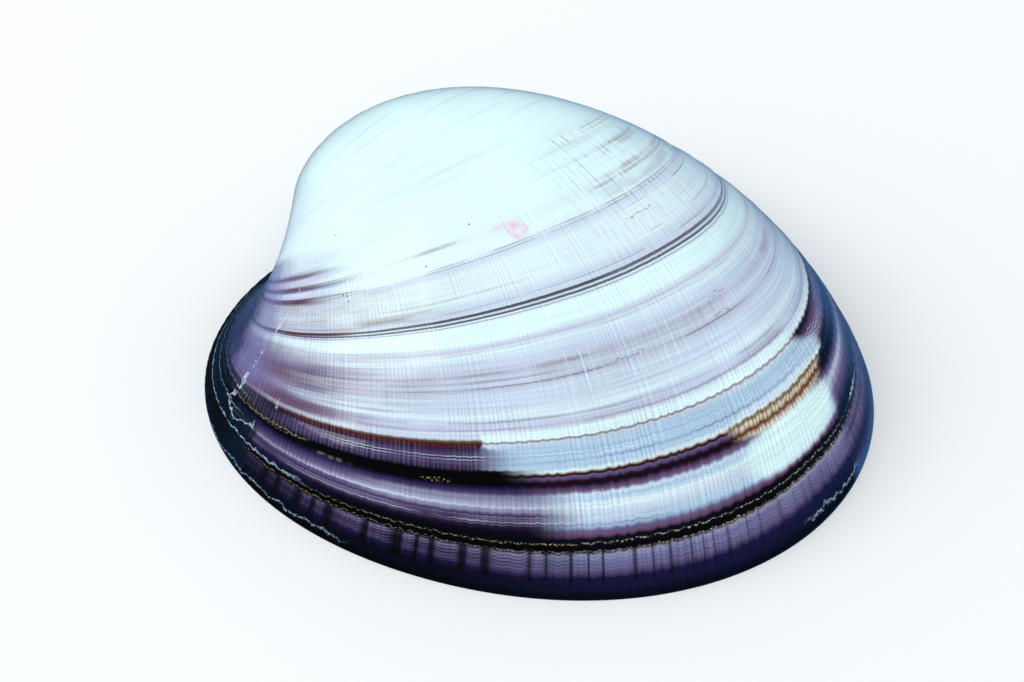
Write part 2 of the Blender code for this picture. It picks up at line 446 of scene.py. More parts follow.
# %% Faces and their corners
around = np.arange(COLUMNS)
after = (around + 1) % COLUMNS
start = np.arange(rows - 1)[:, None] * COLUMNS
below = start + COLUMNS
quads = np.stack([start + around, below + around, below + after, start + after], axis=-1)
quads = quads.reshape(-1, 4)
tip, last_row = rows * COLUMNS, (rows - 1) * COLUMNS
caps = np.concatenate([
    np.stack([np.full(COLUMNS, tip), around, after], axis=-1),
    np.stack([np.full(COLUMNS, tip + 1), last_row + after, last_row + around], axis=-1),
])

step = 360.0 / COLUMNS
corner_turn = np.stack([turns, turns, turns + step, turns + step], axis=-1)
corner_turn = np.broadcast_to(corner_turn, (rows - 1, COLUMNS, 4)).reshape(-1)
cap_turn = np.stack([turns + 0.5 * step, turns, turns + step], axis=-1)
cap_turn = np.concatenate([cap_turn, cap_turn[:, [0, 2, 1]]]).reshape(-1)
corner_turn = np.concatenate([corner_turn, cap_turn])
corner_points = np.concatenate([quads.reshape(-1), caps.reshape(-1)])
point_scale = np.concatenate([np.repeat(row_scale, COLUMNS), [FIRST_SCALE, 0.0]])
point_in = np.concatenate([np.zeros(OUTER_ROWS * COLUMNS), row_in.reshape(-1), [0.0, WALL_WIDTH]])
corner_outside = corner_points < OUTER_ROWS * COLUMNS
corner_scale = point_scale[corner_points]
corner_growth = np.stack([
    corner_turn,
    corner_scale - drift_at(corner_turn, corner_scale),
    np.where(corner_outside, np.interp(corner_turn, *np.array(SAG).T), point_in[corner_points]),
], axis=-1)
corner_counts = np.stack([
    rib_number(corner_turn),
    cell_number(corner_turn),
    np.zeros_like(corner_turn),
], axis=-1)

# %% Make the mesh
WORLD_WAYS = ((1.0, 0.0, 0.0), (0.0, 1.0, 0.0), (0.0, 0.0, 1.0))


def place(name, data, middle=(0.0, 0.0, 0.0), ways=WORLD_WAYS):
    """Puts data into the scene as an object: the ways are where its own x, y and z point."""
    thing = bpy.data.objects.new(name, data)
    thing.matrix_world = Matrix.Translation(Vector(middle)) @ Matrix(ways).transposed().to_4x4()
    bpy.context.scene.collection.objects.link(thing)
    return thing


mesh = bpy.data.meshes.new("polished_valve")
mesh.from_pydata(points.tolist(), [], quads.tolist() + caps.tolist())
growth = mesh.attributes.new("growth", "FLOAT_VECTOR", "CORNER")
growth.data.foreach_set("vector", corner_growth.astype(np.float32).reshape(-1))
ribs = mesh.attributes.new("ribs", "FLOAT_VECTOR", "CORNER")
ribs.data.foreach_set("vector", corner_counts.astype(np.float32).reshape(-1))
mesh.validate()
mesh.shade_smooth()
valve = place("polished_valve", mesh)
triangles = sum(len(face.vertices) - 2 for face in mesh.polygons)
print(f"{rows} rows, {triangles} triangles")

# %% [markdown]
# ## Paints
#
# Every colour on the shell is mixed from a small box of paints, named after what they look like.
# They are written as a colour picker shows them, and turned into the linear values that light is
# reckoned in. Using few paints keeps bands on different sides of the shell in one family.

# %% The paint box
def read_table(text):
    """The rows of a table written as text: the name of a paint, then numbers."""
    rows = [row.split() for row in text.strip().splitlines()]
    return [(name, *map(float, numbers)) for name, *numbers in rows]


PAINTS = {name: shares for name, *shares in read_table("""
    ice 226 253 255
    milk 222 243 250
    mist 204 220 238
    sky 174 202 228
    pearl 196 200 224
    tan 150 136 118
    dove 152 148 178
    lavender 116 118 166
    lilac 106 96 138
    mauve 98 68 96
    heather 72 58 98
    plum 46 31 62
    wine 44 10 18
    maroon 74 22 24
    rust 112 54 34
    olive 98 88 54
    gold 160 146 106
    cream 214 205 188
    slate 56 54 98
    indigo 24 22 66
    ink 9 6 26
    black 1 1 3
    teal 3 20 36
    sea 52 92 148
    rose 240 184 206
""")}


def paint(name):
    """The linear colour of a paint, by the screen's own curve: a straight foot, then the power 2.4."""
    share = np.array(PAINTS[name]) / 255.0
    linear = np.where(share <= 0.04045, share / 12.92, ((share + 0.055) / 1.055) ** 2.4)
    return (*linear.tolist(), 1.0)


print(len(PAINTS), "paints")

# %% [markdown]
# ## A short way to write nodes
#
# A node material is a formula drawn as boxes. A pattern with dozens of bands would be unreadable as
# one box after another, so a small class wires the boxes and the recipe below reads like a formula.
# A renderer holds only so many values at a time, and this recipe comes near that, so it saves boxes.

# %% The recipe class
class Recipe:
    """The nodes of a material or of the sky. Its methods take numbers, colours or sockets, and most
    of them return a socket."""

    SPOT_EDGE = (1.35, 0.45)

    def __init__(self, holder, colour="ice"):
        self.holder = holder
        holder.use_nodes = True
        self.tree = holder.node_tree
        kind = "Background" if isinstance(holder, bpy.types.World) else "Principled BSDF"
        self.surface = self.tree.nodes[kind]
        self.colour = colour

    def feed(self, socket, value):
        """Links another socket to this one, or sets a number or a colour directly on it."""
        if isinstance(value, bpy.types.NodeSocket):
            self.tree.links.new(value, socket)
        else:
            socket.default_value = value

    def box(self, kind, inputs=(), **settings):
        """A new node: the inputs go to its sockets in their order, the settings to its options."""
        node = self.tree.nodes.new(kind)
        for name, value in settings.items():
            setattr(node, name, value)
        for number, value in enumerate(inputs):
            self.feed(node.inputs[number], value)
        return node

    def parts(self, attribute):
        """The three numbers of a stored attribute."""
        stored = self.box("ShaderNodeAttribute", attribute_name=attribute)
        return self.box("ShaderNodeSeparateXYZ", (stored.outputs["Vector"],)).outputs

    def reckon(self, operation, *values):
        """One step of arithmetic, by the name that the Math node has for it."""
        return self.box("ShaderNodeMath", values, operation=operation).outputs[0]

    def add(self, *values):
        """The sum of the values."""
        total = values[0]
        for value in values[1:]:
            total = self.reckon("ADD", total, value)
        return total

    def times(self, *values):
        """The product of the values."""
        total = values[0]
        for value in values[1:]:
            total = self.reckon("MULTIPLY", total, value)
        return total

    def between(self, share, first, last):
        """first where the share is 0, last where it is 1, straight between."""
        return self.box("ShaderNodeMapRange", (share, 0.0, 1.0, first, last)).outputs[0]

    def rise(self, value, start, end):
        """0 at start, 1 at end, an S-curve between. It falls where end is less than start.
        The S-curve stays between 0 and 1 by itself, so no clamp is spent on it."""
        kind = {"interpolation_type": "SMOOTHSTEP", "clamp": False}
        return self.box("ShaderNodeMapRange", (value, start, end, 0.0, 1.0), **kind).outputs[0]

    def band(self, value, middle, half, soft):
        """1 within half of the middle, 0 beyond half plus soft."""
        off = self.reckon("ABSOLUTE", self.reckon("SUBTRACT", value, middle))
        return self.rise(off, half + soft, half)

    def within(self, value, first, last, soft):
        """1 from first to last, 0 further off than soft."""
        return self.band(value, 0.5 * (first + last), 0.5 * (last - first), soft)

    def spot(self, x, y, power=2.0):
        """1 in the middle of a spot, 0 outside: x and y are the offsets in its half widths.
        With a higher power its outline is a square with round corners."""
        far = [self.reckon("POWER", self.reckon("ABSOLUTE", value), power) for value in (x, y)]
        return self.rise(self.add(*far), *self.SPOT_EDGE)

    def offset(self, value, middle, half):
        """How far a value lies from the middle, in half widths."""
        return self.reckon("MULTIPLY_ADD", value, 1.0 / half, -middle / half)

    def fold(self, count):
        """1 where the count is whole, 0 halfway between, straight between."""
        saw = self.reckon("FRACT", count)
        return self.reckon("ABSOLUTE", self.reckon("MULTIPLY_ADD", saw, 2.0, -1.0))

    def cloud(self, x, y, detail=2.0):
        """Smooth noise from -1 to 1, with one blob to a unit of x and of y."""
        node = self.box("ShaderNodeTexNoise", noise_dimensions="2D")
        self.feed(node.inputs["Vector"], self.box("ShaderNodeCombineXYZ", (x, y, 0.0)).outputs[0])
        node.inputs["Scale"].default_value = 1.0
        node.inputs["Detail"].default_value = detail
        return self.reckon("MULTIPLY_ADD", node.outputs["Fac"], 2.0, -1.0)

    def grain(self, turn_rate, scale_rate, detail=2.0):
        """Noise with so many blobs to a degree of turn and to a unit of scale."""
        return self.cloud(self.times(self.turn, turn_rate), self.times(self.grown, scale_rate), detail)

    def ramp(self, value, start, end, stops):
        """Paints along a value. The stops are a text of up to 32 places, each written as a thousand
        times the value there, and of the paint at each. A ramp holds its ends, so it needs no clamp."""
        share = self.box("ShaderNodeMapRange", (value, start, end), clamp=False).outputs[0]
        node = self.box("ShaderNodeValToRGB", (share,))
        elements = node.color_ramp.elements
        words = stops.split()
        while len(elements) < len(words) // 2:
            elements.new(1.0)
        for element, stop, name in zip(elements, words[::2], words[1::2]):
            element.position = (0.001 * float(stop) - start) / (end - start)
            element.color = paint(name)
        return node.outputs[0]

    def mix(self, share, under, over, kind="MIX"):
        """The colour under where the share is 0, what kind makes of the two where it is 1."""
        node = self.box("ShaderNodeMix", data_type="RGBA", blend_type=kind)
        self.feed(node.inputs[0], share)
        self.feed(node.inputs[6], paint(under) if isinstance(under, str) else under)
        self.feed(node.inputs[7], paint(over) if isinstance(over, str) else over)
        return node.outputs[2]

    def lay(self, over, *shares):
        """Lays a paint over what is there, as strongly as the product of the shares."""
        self.colour = self.mix(self.times(*shares), self.colour, over)

    def wear(self, looks):
        """Gives the surface the colour and the other looks, each by the name of its socket."""
        for name, value in {"Base Color": self.colour, **looks}.items():
            self.feed(self.surface.inputs[name], value)

    def emboss(self, height, strength, distance):
        """Tilts the skin for the light alone, as if it were raised by the height times the distance."""
        bump = self.box("ShaderNodeBump")
        bump.inputs["Strength"].default_value = strength
        bump.inputs["Distance"].default_value = distance
        self.feed(bump.inputs["Height"], height)
        self.feed(self.surface.inputs["Normal"], bump.outputs["Normal"])


# %% [markdown]
# ## The growth bands
#
# All that is known about colour is written in growth terms. The swell fades from ice white to misty
# bands. Past the scale 0.84 there are four versions of the banding: the plum side towards the head
# end, the front, the cream patch, and the rear, where everything turns bluer. Masks in the turn choose
# between them, and some of their borders are sharp, as they are in the shell.

# %% Where a point grew
shell = Recipe(bpy.data.materials.new("polished_shell"))
rise, band, within, between, fold = shell.rise, shell.band, shell.within, shell.between, shell.fold
spot, offset, grain, cloud = shell.spot, shell.offset, shell.grain, shell.cloud
add, times, reckon = shell.add, shell.times, shell.reckon
ramp, mix, lay = shell.ramp, shell.mix, shell.lay

turn, grown, sag = shell.parts("growth")
rib, cell = shell.parts("ribs")[:2]
shell.turn, shell.grown = turn, grown
rib_line = fold(rib)
cell_line = fold(cell)
plum_way = rise(turn, -8.0, -38.0)
late = rise(grown, 0.93, 0.945)
scallop_size = times(rise(grown, 0.83, 0.85), between(plum_way, 0.0012, 0.0004))
scallop = times(rib_line, rib_line, scallop_size)
wander = times(grain(0.05, 8.0, 3.0), 0.0014)
jitter = times(grain(1.3, 40.0), 0.0004)
stage = add(grown, scallop, wander, jitter, times(sag, late, -1.0))

# %% Bands from the beak to the late growth
swell = ramp(stage, 0.5, 0.85, """
    500 ice 590 ice 600 milk 606 milk 618 ice 628 milk 636 mist 645 milk 668 milk 680 milk 690 mist
    698 mist 713 milk 717 ice 735 ice 743 pearl 748 milk 760 mist 775 pearl 783 mist 791 pearl
    800 mist 815 mist 822 milk 828 mist 838 pearl 842 milk 850 ice
""")
mauve_swell = ramp(stage, 0.5, 0.85, """
    500 milk 555 mist 564 dove 568 mauve 574 mauve 580 pearl 592 pearl 598 mauve 606 lilac 613 mist
    623 pearl 627 mauve 636 mauve 643 pearl 665 mist 690 pearl 713 pearl 720 milk 738 mist 760 dove
    772 lilac 779 mauve 790 mauve 797 lilac 810 dove 822 lilac 830 mauve 839 mauve 844 dove
    850 pearl
""")

# %% Bands of the plum side
plum_side = ramp(stage, 0.84, 1.0, """
    840 pearl 845 mist 847.6 pearl 849 olive 850.2 olive 851.4 maroon 854.5 maroon 859 plum
    864 heather 872 heather 879 plum 881.5 ink 883 black 896 black 899 indigo 904 heather 911 lilac
    915 dove 917.2 pearl 919 lilac 925 heather 934 plum 939 ink 945 black 957.5 black 960 lilac
    963 heather 967 plum 972 heather 976 indigo 982 ink 1000 black
""")

# %% Bands of the front
front = ramp(stage, 0.84, 1.0, """
    840 milk 850 ice 851.4 dove 852.4 tan 854 mist 861 sky 878 sky 883.5 milk 885.2 tan 886.2 maroon
    887.5 wine 889 lilac 892 heather 893.4 wine 896.5 ink 898.5 plum 901 mauve 903.5 lilac
    906.5 mist 910.5 sky 915 milk 924 mist 934 sky 938.5 lilac 942.5 mauve 945.2 ink 957.5 black
    960.2 dove 964 lavender 973 lilac 980 indigo 1000 black
""")

# %% Bands of the cream patch
cream_patch = ramp(stage, 0.84, 1.0, """
    840 milk 850 ice 851.4 tan 852.4 tan 854.2 milk 864 sky 876 mist 881.5 milk 883.5 tan
    884.6 olive 885.8 gold 887.5 cream 890.5 cream 892.2 gold 893.4 rust 894.6 rust 895.8 tan
    898 cream 902 ice 933 ice 939.5 mist 943 mauve 945.5 ink 957 black 960.5 dove 964 lavender
    974 lilac 980 indigo 1000 teal
""")

# %% Bands of the rear
rear = ramp(stage, 0.84, 1.0, """
    840 pearl 848 milk 850.2 mauve 851.4 wine 854 ink 857.5 plum 862 mauve 868 lilac 874 lilac
    877 mauve 879.5 plum 882.5 teal 896 ink 900 indigo 906 lilac 911 pearl 916 dove 922 lilac
    930 heather 938 indigo 944 teal 957 teal 961 lilac 966 heather 970 lilac 976 heather 983 indigo
    992 slate 1000 sea
""")

# %% Where each version shows
waved = add(turn, times(grain(0.02, 60.0), 1.2))
mauve_share = rise(add(turn, times(grain(0.02, 45.0, 3.0), 13.0)), -46.0, -62.0)
shell.colour = mix(mauve_share, swell, mauve_swell)

under_black = rise(stage, 0.879, 0.882)
below_black = rise(stage, 0.898, 0.906)
under_line = rise(stage, 0.855, 0.864)
plum_edge = add(between(under_line, -29.8, -23.5), times(under_black, 4.5))
plum_edge = add(plum_edge, times(below_black, 3.5))
plum_soft = between(under_line, 0.5, 8.5)
plum_off = reckon("DIVIDE", reckon("SUBTRACT", plum_edge, waved), plum_soft)
plum_share = rise(plum_off, 0.0, 1.0)
cells_start = rise(grown, 0.954, 0.96)
plum_share = add(plum_share, times(cells_start, reckon("SUBTRACT", plum_way, plum_share)))
margin = mix(plum_share, front, plum_side)
patch_lines = spot(offset(waved, 18.0, 11.4), offset(stage, 0.888, 0.014), 3.0)
patch_field = spot(offset(waved, 18.9, 11.0), offset(stage, 0.9195, 0.0235), 2.3)
patch = reckon("MAXIMUM", patch_lines, patch_field)
margin = mix(patch, margin, cream_patch)
slope = times(rise(grown, 0.852, 0.876), 7.0)
rear_start = add(24.0, slope, times(rise(grown, 0.88, 0.892), -3.5))
rear_off = times(reckon("SUBTRACT", waved, rear_start), 0.3)
margin = mix(rise(rear_off, 0.0, 1.0), margin, rear)
lay(margin, rise(grown, 0.841, 0.8425))
pale_streak = times(within(stage, 0.9075, 0.9205, 0.004), within(turn, -42.0, -18.0, 9.0))
lay("mist", pale_streak, 0.24)

# %% [markdown]
# ## Lines, stains and chips laid over the bands, with some painted shade and highlight
#
# Single growth lines don't run right round: each starts and ends somewhere, and fades there. So they
# are listed one by one, and a loop lays them on. A row gives the paint, then the middle, the half
# width and the soft border as scales, the first and the last turn and how softly the line ends
# there, and its strength.

# %% Single growth lines
LINES = read_table("""
    tan 0.527 0.0007 0.001 18 60 8 0.5
    tan 0.5335 0.0006 0.001 20 50 8 0.4
    tan 0.565 0.0008 0.001 22 44 8 0.5
    maroon 0.5688 0.0005 0.001 -68 -57 3 0.45
    maroon 0.5725 0.0004 0.001 -70 -57 3 0.4
    maroon 0.5985 0.0005 0.001 -72 -50 5 0.45
    maroon 0.605 0.0004 0.001 -72 -54 5 0.4
    maroon 0.6285 0.0005 0.001 -74 -52 5 0.45
    maroon 0.634 0.0006 0.001 -74 -54 5 0.45
    tan 0.6 0.0016 0.0025 -40 -26 3 0.6
    tan 0.599 0.002 0.0025 14 50 6 0.45
    mauve 0.606 0.0012 0.002 10 60 8 0.4
    mauve 0.629 0.0007 0.001 -52 60 5 0.45
    mauve 0.633 0.0006 0.0009 -52 60 5 0.4
    olive 0.6435 0.0004 0.0008 8 38 4 0.65
    mauve 0.568 0.0036 0.006 20 52 9 0.3
    lilac 0.618 0.004 0.006 12 52 9 0.3
    tan 0.679 0.0006 0.0012 12 40 3 0.45
    tan 0.676 0.0008 0.0015 -60 -20 9 0.4
    olive 0.69 0.0012 0.002 -48 -38 2.5 0.45
    tan 0.686 0.0024 0.003 -52 -36 3 0.45
    mauve 0.6935 0.0006 0.0012 -62 60 9 0.3
    wine 0.7024 0.0013 0.0012 -95 -5 14 0.88
    plum 0.7024 0.0013 0.0012 6 75 14 0.8
    maroon 0.7028 0.0032 0.0014 -80 -54 6 0.8
    rust 0.7016 0.0007 0.001 10 60 14 0.45
    pearl 0.7054 0.0001 0.0007 -56 75 8 0.75
    plum 0.708 0.0009 0.0011 -95 75 8 0.85
    dove 0.7122 0.0004 0.0009 -60 60 8 0.72
    dove 0.748 0.0006 0.0012 -60 20 9 0.35
    tan 0.774 0.003 0.004 33 43 3 0.55
    mauve 0.775 0.0009 0.0015 -70 -15 9 0.4
    mauve 0.783 0.0007 0.0015 -70 -20 9 0.4
    olive 0.7905 0.0004 0.0008 -75 44 4 0.6
    mauve 0.829 0.0007 0.0015 -75 40 4 0.35
    mauve 0.835 0.002 0.003 18 50 8 0.25
    mauve 0.8375 0.0006 0.0014 -75 40 4 0.3
    milk 0.8664 0.0002 0.0006 -50 60 9 0.5
    ink 0.868 0.0003 0.0006 -50 -30 9 0.5
    milk 0.8697 0.0002 0.0006 -50 60 9 0.5
    lilac 0.8735 0.0003 0.0006 -50 22 4 0.5
    pearl 0.863 0.0002 0.0007 24 75 5 0.55
    pearl 0.8728 0.0002 0.0007 24 75 5 0.6
    pearl 0.8757 0.0002 0.0007 24 75 5 0.5
    dove 0.927 0.0003 0.0007 -66 -8 5 0.6
    dove 0.9292 0.0003 0.0007 -66 -8 5 0.55
    pearl 0.9315 0.0003 0.0007 -66 -8 5 0.6
    lilac 0.9338 0.0003 0.0007 -66 -8 5 0.6
""")
faint = rise(grain(0.09, 60.0, 3.0), -0.45, 0.2)
for paint_name, middle, half, soft, first, last_turn, fade, strength in LINES:
    line = band(stage, middle, half, soft)
    shown = within(turn, first, last_turn, fade)
    if strength < 0.7:
        shown = times(shown, faint)
    lay(paint_name, line, shown, strength)
print(len(LINES), "single growth lines")

# %% The head side of the swell
warm = between(rise(grain(0.1, 70.0, 3.0), -0.4, 0.4), 0.1, 0.42)
warm = times(warm, rise(turn, -16.0, -52.0))
lay("tan", warm, within(grown, 0.64, 0.696, 0.008), 0.85)
lay("tan", warm, within(grown, 0.738, 0.8, 0.012), 0.45)
lay("dove", warm, within(grown, 0.78, 0.843, 0.012), 0.6)
fine_lines = rise(cloud(times(turn, 0.03), times(stage, 240.0), 3.0), 0.05, 0.45)
lay("mauve", fine_lines, rise(turn, -28.0, -60.0), within(grown, 0.65, 0.843, 0.01), 0.35)
streaked = grain(0.5, 14.0, 3.0)
head_way = add(turn, times(streaked, 4.0))
lay("mauve", rise(head_way, -59.0, -74.0), within(grown, 0.74, 0.846, 0.02), 0.62)
lay("lavender", rise(head_way, -63.0, -76.0), within(grown, 0.52, 0.843, 0.04), 0.72)
lay("mauve", rise(turn, -50.0, -64.0), within(grown, 0.838, 0.8485, 0.003), 0.45)
lay("slate", rise(head_way, -74.5, -86.0), rise(grown, 0.5, 0.62), 0.8)
lay("indigo", rise(head_way, -78.0, -87.0), rise(grown, 0.56, 0.68), 0.85)
lay("ink", rise(turn, -58.0, -67.0), within(grown, 0.853, 0.886, 0.003), 0.72)
lay("indigo", rise(turn, -46.0, -68.0), within(grown, 0.897, 0.945, 0.004), 0.5)
# Painted light: the rear flank faces away from the window. It is tinted sea blue on the margin and sky
# blue on the swell, as painted cool shade with a painted blue rim reflection.
lay("sea", rise(turn, 34.0, 48.0), rise(grown, 0.845, 0.86), 0.6)
lay("sky", rise(turn, 14.0, 42.0), rise(grown, 0.845, 0.838), 0.4)

# %% The worn beak
lay("cream", rise(grown, 0.3, 0.05), 0.35)
old_lines = rise(cloud(times(turn, 0.02), times(stage, 90.0), 3.0), 0.0, 0.6)
lay("mist", old_lines, within(grown, 0.08, 0.56, 0.06), 0.55)
hingeward = rise(reckon("ABSOLUTE", turn), 62.0, 110.0)
lay("dove", old_lines, hingeward, within(grown, 0.1, 0.84, 0.08), 0.4)

# %% Tan and mauve cells in the middle of the front
tile = cloud(reckon("FLOOR", rib), 3.5)
tile_fade = times(rise(stage, 0.769, 0.7725), rise(stage, 0.802, 0.772))
tiles = times(within(turn, -18.0, 13.0, 4.0), tile_fade)
lay("mauve", tiles, rise(tile, -0.5, 0.4), 0.2)
lay("tan", tiles, rise(tile, 0.1, -0.4), 0.26)
# Painted shade: slate darkens the grooves between the cells. The ice in the grooves is the shell's white
# dividers and also a painted highlight on the folds.
lay("slate", tiles, rise(rib_line, 0.7, 0.92), 0.22)
tile_gap_highlight = times(within(turn, -19.0, 4.0, 4.0), within(stage, 0.771, 0.806, 0.006))
lay("ice", tile_gap_highlight, rise(rib_line, 0.78, 0.97), rise(tile, -0.5, 0.1), 0.65)

# %% Rows of tan dots towards the rear
DOT_ROWS = (0.527, 0.5335, 0.5635, 0.572, 0.5985, 0.606, 0.632)
dot = rise(reckon("SINE", times(turn, 2.0 * math.pi / 1.56)), -0.1, 0.9)
dot = times(dot, rise(grain(0.55, 40.0), -0.3, 0.4))
dot_zone = times(within(turn, 9.0, 32.0, 4.0), 0.42)
for row in DOT_ROWS:
    lay("tan", dot, dot_zone, band(stage, row, 0.001, 0.0034))
comb = times(within(turn, 2.0, 40.0, 9.0), within(grown, 0.53, 0.7, 0.03))
lay("dove", comb, dot, 0.22)

# %% Chips of gold in the black band, the middle one a painted highlight
speck = grain(3.0, 500.0, 3.0)
# The middle chip, at turn -37 on the growth step near 0.8935, is a painted highlight.
chips_and_highlight = add(
    spot(offset(turn, -65.5, 5.0), offset(stage, 0.885, 0.0055)),
    spot(offset(turn, -37.0, 2.4), offset(stage, 0.8935, 0.0028)),
    spot(offset(turn, -13.5, 1.6), offset(stage, 0.905, 0.0032)),
)
lay("gold", chips_and_highlight, rise(speck, 0.1, 0.4), 0.8)

# %% Broken gold lines in the late black band
zigzag = times(fold(times(rib, 1.35)), between(rise(turn, -28.0, -40.0), 0.0003, 0.0026))
zigzag = add(zigzag, times(grain(0.9, 30.0), 0.001))
broken = rise(speck, -0.15, 0.25)
for middle, half, strength in ((0.9492, 0.0004, 0.75), (0.9562, 0.0002, 0.6)):
    line = times(band(add(stage, zigzag), middle + 0.0012, half, 0.0007), broken)
    lay("gold", line, rise(turn, 34.0, 24.0), strength)
    lay("cream", line, rise(speck, 0.15, 0.35), rise(turn, -34.0, -6.0), 0.8)
white_end = spot(offset(turn, 37.0, 3.4), offset(stage, 0.95, 0.0022))
lay("mist", white_end, rise(speck, -0.35, 0.05), 0.9)

# %% Cells at the margin
cell_reach = within(grown, 0.959, 0.983, 0.003)
hang = times(reckon("POWER", cell_line, 2.2), between(plum_way, 0.002, 0.006))
cell_stage = add(stage, hang)
cell_rings = reckon("SINE", times(cell_stage, 2.0 * math.pi / 0.0031))
ring_size = between(plum_way, 0.14, 0.42)
lay("ink", cell_reach, rise(cell_rings, 0.1, 1.0), ring_size)
lay("dove", cell_reach, rise(cell_rings, -0.4, -1.0), rise(cell_stage, 0.978, 0.962), 0.35)
wide_shade = times(rise(cell_line, 0.45, 0.85), rise(turn, -14.0, -30.0))
thin_line = times(rise(cell_line, 0.72, 0.98), between(rise(turn, 22.0, -18.0), 0.25, 0.95))
lay("black", reckon("MAXIMUM", wide_shade, thin_line), cell_reach, 0.88)
cell_tone = cloud(reckon("FLOOR", cell), 7.5)
lay("indigo", cell_reach, rise(cell_tone, -0.1, 0.5), 0.2)
lay("ink", cell_reach, rise(turn, -46.0, -64.0), 0.8)

# %% The dark head end with its crinkled white lines
lay("teal", rise(head_way, -66.5, -68.5), rise(grown, 0.893, 0.905), 0.88)
lay("black", rise(head_way, -68.0, -78.0), rise(grown, 0.862, 0.88), 0.85)
CRINKLES = read_table("""
    sky 0.946 0.0012 -100 -60 0.8
    sky 0.9925 0.0005 -100 -52 0.55
    mist 0.993 0.0004 19 28 0.5
    gold 0.884 0.0005 -74 -60 0.7
    sky 0.908 0.0005 -100 -74 0.45
    sky 0.87 0.0004 -100 -74 0.35
""")
crinkle = times(grain(0.8, 40.0, 4.0), 0.007)
for paint_name, middle, half, first, last_turn, strength in CRINKLES:
    line = band(add(stage, crinkle), middle, half, 0.0016)
    shown = within(turn, first, last_turn, 4.0)
    lay(paint_name, line, shown, rise(speck, -0.25, 0.15), strength)

# %% Scratches and a torn flake down the head end
SCRATCHES = (
    (0.602, 0.612, -63.6, -63.9, 0.1, 0.8),
    (0.654, 0.664, -66.6, -67.0, 0.04, 0.5),
    (0.668, 0.706, -67.4, -69.6, 0.14, 0.8),
    (0.757, 0.782, -72.0, -72.6, 0.05, 0.7),
    (0.79, 0.806, -73.0, -73.3, 0.02, 0.6),
    (0.828, 0.87, -74.2, -75.2, 0.24, 0.8),
    (0.84, 0.858, -64.6, -65.0, 0.0, 0.8),
    (0.884, 0.908, -75.0, -77.0, 0.14, 0.7),
    (0.905, 0.93, -76.6, -73.4, 0.16, 0.7),
    (0.912, 0.931, -68.9, -73.0, 0.08, 0.7),
    (0.905, 0.914, -68.7, -68.9, 0.1, 0.7),
)
torn = grain(1.1, 55.0, 4.0)
ragged = add(turn, times(torn, 1.5))
worn = 0.0
for first, last_scale, first_turn, last_turn, half, strength in SCRATCHES:
    slant = (last_turn - first_turn) / (last_scale - first)
    off = add(ragged, times(add(grown, -first), -slant))
    mark = times(band(off, first_turn, half, 0.22), within(grown, first, last_scale, 0.005))
    worn = reckon("MAXIMUM", worn, times(mark, strength))
worn = times(worn, rise(grain(1.9, 140.0, 3.0), -0.5, 0.1))
lay("mist", worn)

# %% A rosy spot on the swell, squiggles and tiny pits
SQUIGGLES = ((15.0, 0.769, 1.6), (14.0, 0.786, 1.4), (-4.5, 0.788, 2.4), (11.0, 0.656, 3.2))
PITS = (
    (-21.0, 0.583), (-51.0, 0.505), (-50.6, 0.645), (-51.8, 0.631), (-50.9, 0.635), (-32.8, 0.62),
)
rosy = spot(offset(turn, -13.0, 2.6), offset(grown, 0.615, 0.014), 1.3)
lay("rose", rosy, between(rise(grain(0.9, 90.0, 3.0), -0.4, 0.5), 0.3, 0.8))
lay("rose", spot(offset(turn, -15.0, 3.4), offset(grown, 0.603, 0.006), 1.3), 0.35)
wriggle = times(grain(0.9, 60.0, 3.0), 0.007)
for middle_turn, middle, half_turn in SQUIGGLES:
    squiggle = band(add(stage, wriggle), middle, 0.0003, 0.0009)
    lay("olive", squiggle, band(turn, middle_turn, half_turn, 0.6), rise(speck, -0.4, 0.1), 0.6)
for middle_turn, middle in PITS:
    pit = spot(offset(turn, middle_turn, 0.22), offset(grown, middle, 0.0016))
    lay("mauve", pit, 0.85)

# %% Pinstripes and growth streaks
stripe_wave = times(grain(0.3, 1.5), 1.3)
stripe = reckon("SINE", times(add(times(turn, 1.31), stripe_wave), 2.0 * math.pi))
threads = grain(2.6, 2.0, 1.0)
stripe = add(times(stripe, 0.7), times(threads, 0.8))
stripe_patch = rise(grain(0.12, 20.0), -0.6, 0.5)
stripe_zone = add(rise(grown, 0.46, 0.66), rise(grown, 0.8, 0.87), 0.25)
stripe_size = times(stripe_zone, stripe_patch, 0.085)
stripe_size = times(stripe_size, between(rise(turn, -35.0, -58.0), 1.0, 1.9))
streak = cloud(times(turn, 0.05), times(stage, 330.0))
streak_size = between(rise(grown, 0.52, 0.92), 0.02, 0.26)
blotch = times(grain(0.06, 9.0), 0.06)
striped = times(stripe, stripe_size)
shade = add(1.0, times(streak, streak_size), blotch)
tints = [add(shade, times(striped, strength)) for strength in (1.0, 1.15, 0.75)]
shades = shell.box("ShaderNodeCombineColor", tints).outputs[0]
shell.colour = mix(1.0, shell.colour, shades, "MULTIPLY")
light_threads = times(rise(stripe, -0.6, 1.1), stripe_patch)
lay("pearl", light_threads, plum_way, within(stage, 0.854, 0.879, 0.003), 0.09)
lay("rust", rise(stripe, 0.1, -0.7), patch, within(stage, 0.883, 0.899, 0.001), 0.55)

# %% Gloss and the finest relief
shell.wear({
    "Roughness": between(worn, 0.13, 0.55),
    "Specular IOR Level": 0.2,
    "Coat Weight": between(rise(grown, 0.7, 0.88), 0.2, 0.65),
    "Coat Roughness": 0.03,
    "Sheen Weight": 0.22,
    "Sheen Roughness": 0.25,
    "Sheen Tint": (0.35, 0.65, 1.0, 1.0),
})
relief = add(times(stripe, stripe_patch, 0.3), times(streak, 0.8), times(worn, -2.5))
shell.emboss(relief, 0.35, 0.00002)
print("nodes in the shell's recipe:", len(shell.tree.nodes))

